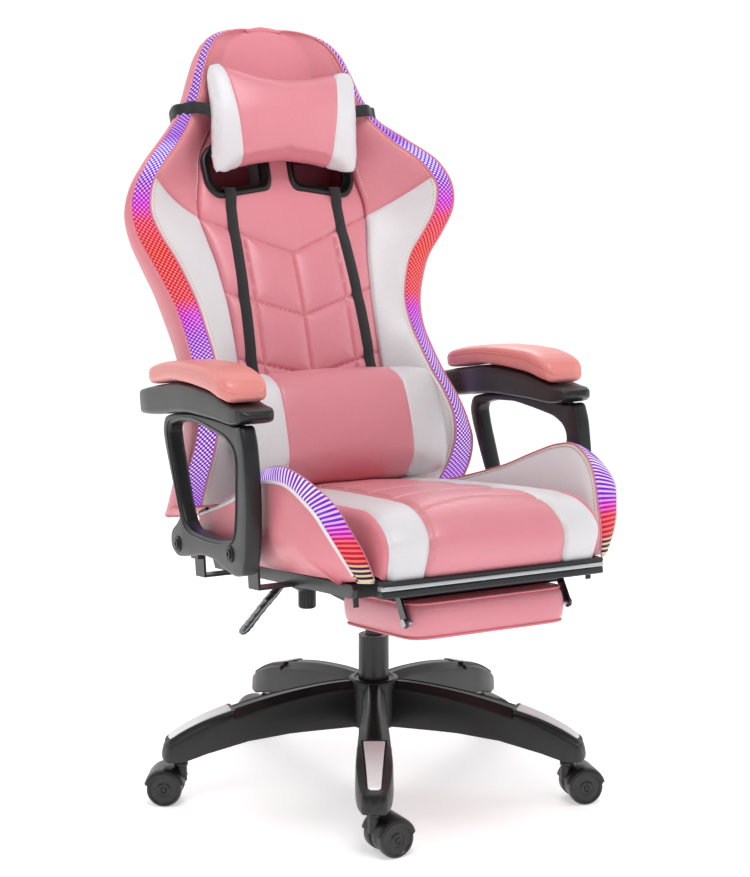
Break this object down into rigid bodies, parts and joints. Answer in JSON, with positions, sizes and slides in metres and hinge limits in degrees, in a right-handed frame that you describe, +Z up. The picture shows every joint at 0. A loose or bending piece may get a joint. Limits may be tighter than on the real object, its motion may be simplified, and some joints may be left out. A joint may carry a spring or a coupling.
{
  "type": "gaming chair",
  "caption": "Winged reclining gaming chair with loop arms, head and lumbar pillows, lit edge strips, pull-out footrest, gas lift and a five-star base on casters.",
  "frame": {"origin": "on the floor directly under the swivel axis of the gas lift", "axes": "+Z up along the gas lift; the chair faces -Y, and X=0 is the mirror plane of seat and back"},
  "size_m": [0.7317, 0.8792, 1.2605],
  "materials": {
    "pink_leather": "soft faux leather, satin",
    "arm_pad_leather": "soft faux leather over foam",
    "white_leather": "soft faux leather, satin",
    "light_strip": "lit mesh over a light strip",
    "black_nylon": "moulded glass-filled nylon",
    "wheel_nylon": "smooth nylon tread",
    "trim_silver": "silver trim",
    "black_steel": "black powder coat",
    "rail_steel": "polished grey enamel",
    "chrome": "polished",
    "zinc_steel": "zinc plated",
    "bush_plastic": "acetal",
    "webbing": "woven webbing",
    "valve_red": "moulded"
  },
  "bodies": {
    "base": {"star_base": "black_nylon", "base_inlays": "trim_silver", "column_tube": "black_steel", "column_bush": "bush_plastic", "thrust_bearing": "zinc_steel", "caster_stems": "zinc_steel"},
    "caster_1": {"caster_hood_1": "black_nylon"},
    "wheels_1": {"caster_wheels_1": "wheel_nylon"},
    "caster_2": {"caster_hood_2": "black_nylon"},
    "wheels_2": {"caster_wheels_2": "wheel_nylon"},
    "caster_3": {"caster_hood_3": "black_nylon"},
    "wheels_3": {"caster_wheels_3": "wheel_nylon"},
    "caster_4": {"caster_hood_4": "black_nylon"},
    "wheels_4": {"caster_wheels_4": "wheel_nylon"},
    "caster_5": {"caster_hood_5": "black_nylon"},
    "wheels_5": {"caster_wheels_5": "wheel_nylon"},
    "lift_rod": {"piston_rod": "chrome"},
    "mechanism": {"pressure_tube": "black_steel", "tilt_housing": "black_steel", "tilt_pin": "zinc_steel", "torsion_spring": "zinc_steel", "lever_pin": "zinc_steel"},
    "knob": {"tension_knob": "black_nylon"},
    "lift_lever": {"height_lever": "chrome"},
    "valve": {"valve_pin": "valve_red"},
    "seat": {"mount_plate": "black_steel", "seat_frame": "rail_steel", "seat_straps": "webbing", "seat_cushion": "pink_leather", "seat_bolsters": "white_leather", "seat_light_strips": "light_strip", "arm_brackets": "black_steel", "arm_loop_left": "black_nylon", "arm_loop_right": "black_nylon", "arm_beams": "black_nylon", "arm_pads": "arm_pad_leather", "arm_bolts": "zinc_steel", "hinge_plates": "black_steel", "recline_pins": "zinc_steel", "recline_springs": "zinc_steel", "footrest_guides": "black_steel"},
    "recline_handle": {"recline_lever": "black_nylon"},
    "back": {"back_brackets": "black_steel", "back_frame": "black_steel", "back_shell": "pink_leather", "back_cushion": "pink_leather", "back_bolsters": "white_leather", "belt_bezels": "black_nylon", "back_light_strips": "light_strip", "lumbar_pillow": "pink_leather", "lumbar_belts": "webbing", "head_pillow": "pink_leather", "head_strap": "webbing"},
    "footrest_slide": {"footrest_rails": "chrome", "footrest_pins": "zinc_steel"},
    "footrest": {"footrest_pad": "pink_leather"}
  },
  "joints": [
    {"name": "caster_swivel_1", "type": "hinge", "parent": "base", "child": "caster_1", "pos_m": [-0.1454, -0.2929, 0.05], "axis": [0, 0, 1], "continuous": true},
    {"name": "wheel_roll_1", "type": "hinge", "parent": "caster_1", "child": "wheels_1", "pos_m": [-0.12143, -0.29164, 0.028], "axis": [-0.0523, 0.9986, 0], "continuous": true},
    {"name": "caster_swivel_2", "type": "hinge", "parent": "base", "child": "caster_2", "pos_m": [0.23363, -0.22879, 0.05], "axis": [0, 0, 1], "continuous": true},
    {"name": "wheel_roll_2", "type": "hinge", "parent": "caster_2", "child": "wheels_2", "pos_m": [0.25706, -0.23398, 0.028], "axis": [0.2164, 0.9763, 0], "continuous": true},
    {"name": "caster_swivel_3", "type": "hinge", "parent": "base", "child": "caster_3", "pos_m": [0.28979, 0.1515, 0.05], "axis": [0, 0, 1], "continuous": true},
    {"name": "wheel_roll_3", "type": "hinge", "parent": "caster_3", "child": "wheels_3", "pos_m": [0.31379, 0.1515, 0.028], "axis": [0, 1, 0], "continuous": true},
    {"name": "caster_swivel_4", "type": "hinge", "parent": "base", "child": "caster_4", "pos_m": [-0.05453, 0.32242, 0.05], "axis": [0, 0, 1], "continuous": true},
    {"name": "wheel_roll_4", "type": "hinge", "parent": "caster_4", "child": "wheels_4", "pos_m": [-0.07709, 0.33063, 0.028], "axis": [-0.342, -0.9397, 0], "continuous": true},
    {"name": "caster_swivel_5", "type": "hinge", "parent": "base", "child": "caster_5", "pos_m": [-0.32349, 0.04777, 0.05], "axis": [0, 0, 1], "continuous": true},
    {"name": "wheel_roll_5", "type": "hinge", "parent": "caster_5", "child": "wheels_5", "pos_m": [-0.34458, 0.05922, 0.028], "axis": [-0.4772, -0.8788, 0], "continuous": true},
    {"name": "seat_swivel", "type": "hinge", "parent": "base", "child": "lift_rod", "pos_m": [0, 0, 0.2], "axis": [0, 0, 1], "continuous": true},
    {"name": "lift_height", "type": "slide", "parent": "lift_rod", "child": "mechanism", "axis": [0, 0, 1], "range_m": [-0.06, 0.03]},
    {"name": "rock_tilt", "type": "hinge", "parent": "mechanism", "child": "seat", "pos_m": [0, -0.06, 0.338], "axis": [-1, 0, 0], "range_deg": [0, 8], "stiffness_Nm_per_rad": 150, "springref_deg": -25.78},
    {"name": "tension_turn", "type": "hinge", "parent": "mechanism", "child": "knob", "pos_m": [-0.075, 0.1, 0.3], "axis": [0, 0, 1], "range_deg": [0, 720]},
    {"name": "height_lever_lift", "type": "hinge", "parent": "mechanism", "child": "lift_lever", "pos_m": [-0.066, 0.1, 0.329], "axis": [0, 1, 0], "range_deg": [0, 3], "stiffness_Nm_per_rad": 8, "springref_deg": -4.58},
    {"name": "valve_press", "type": "slide", "parent": "mechanism", "child": "valve", "axis": [0, 0, -1], "range_m": [0, 0.0035]},
    {"name": "back_recline", "type": "hinge", "parent": "seat", "child": "back", "pos_m": [0, 0.207, 0.412], "axis": [-1, 0, 0], "range_deg": [0, 45]},
    {"name": "recline_lever_lift", "type": "hinge", "parent": "seat", "child": "recline_handle", "pos_m": [-0.216, 0.207, 0.412], "axis": [-1, 0, 0], "range_deg": [0, 20], "stiffness_Nm_per_rad": 1, "springref_deg": -8.59},
    {"name": "footrest_pull", "type": "slide", "parent": "seat", "child": "footrest_slide", "axis": [0, -0.9925, 0.1219], "range_m": [0, 0.165]},
    {"name": "footrest_flip", "type": "hinge", "parent": "footrest_slide", "child": "footrest", "pos_m": [0, -0.37206, 0.37289], "axis": [-1, 0, 0], "range_deg": [0, 180]}
  ],
  "couplings": [
    {"joint": "valve_press", "follows": "height_lever_lift", "m_per_rad": 0.066}
  ]
}
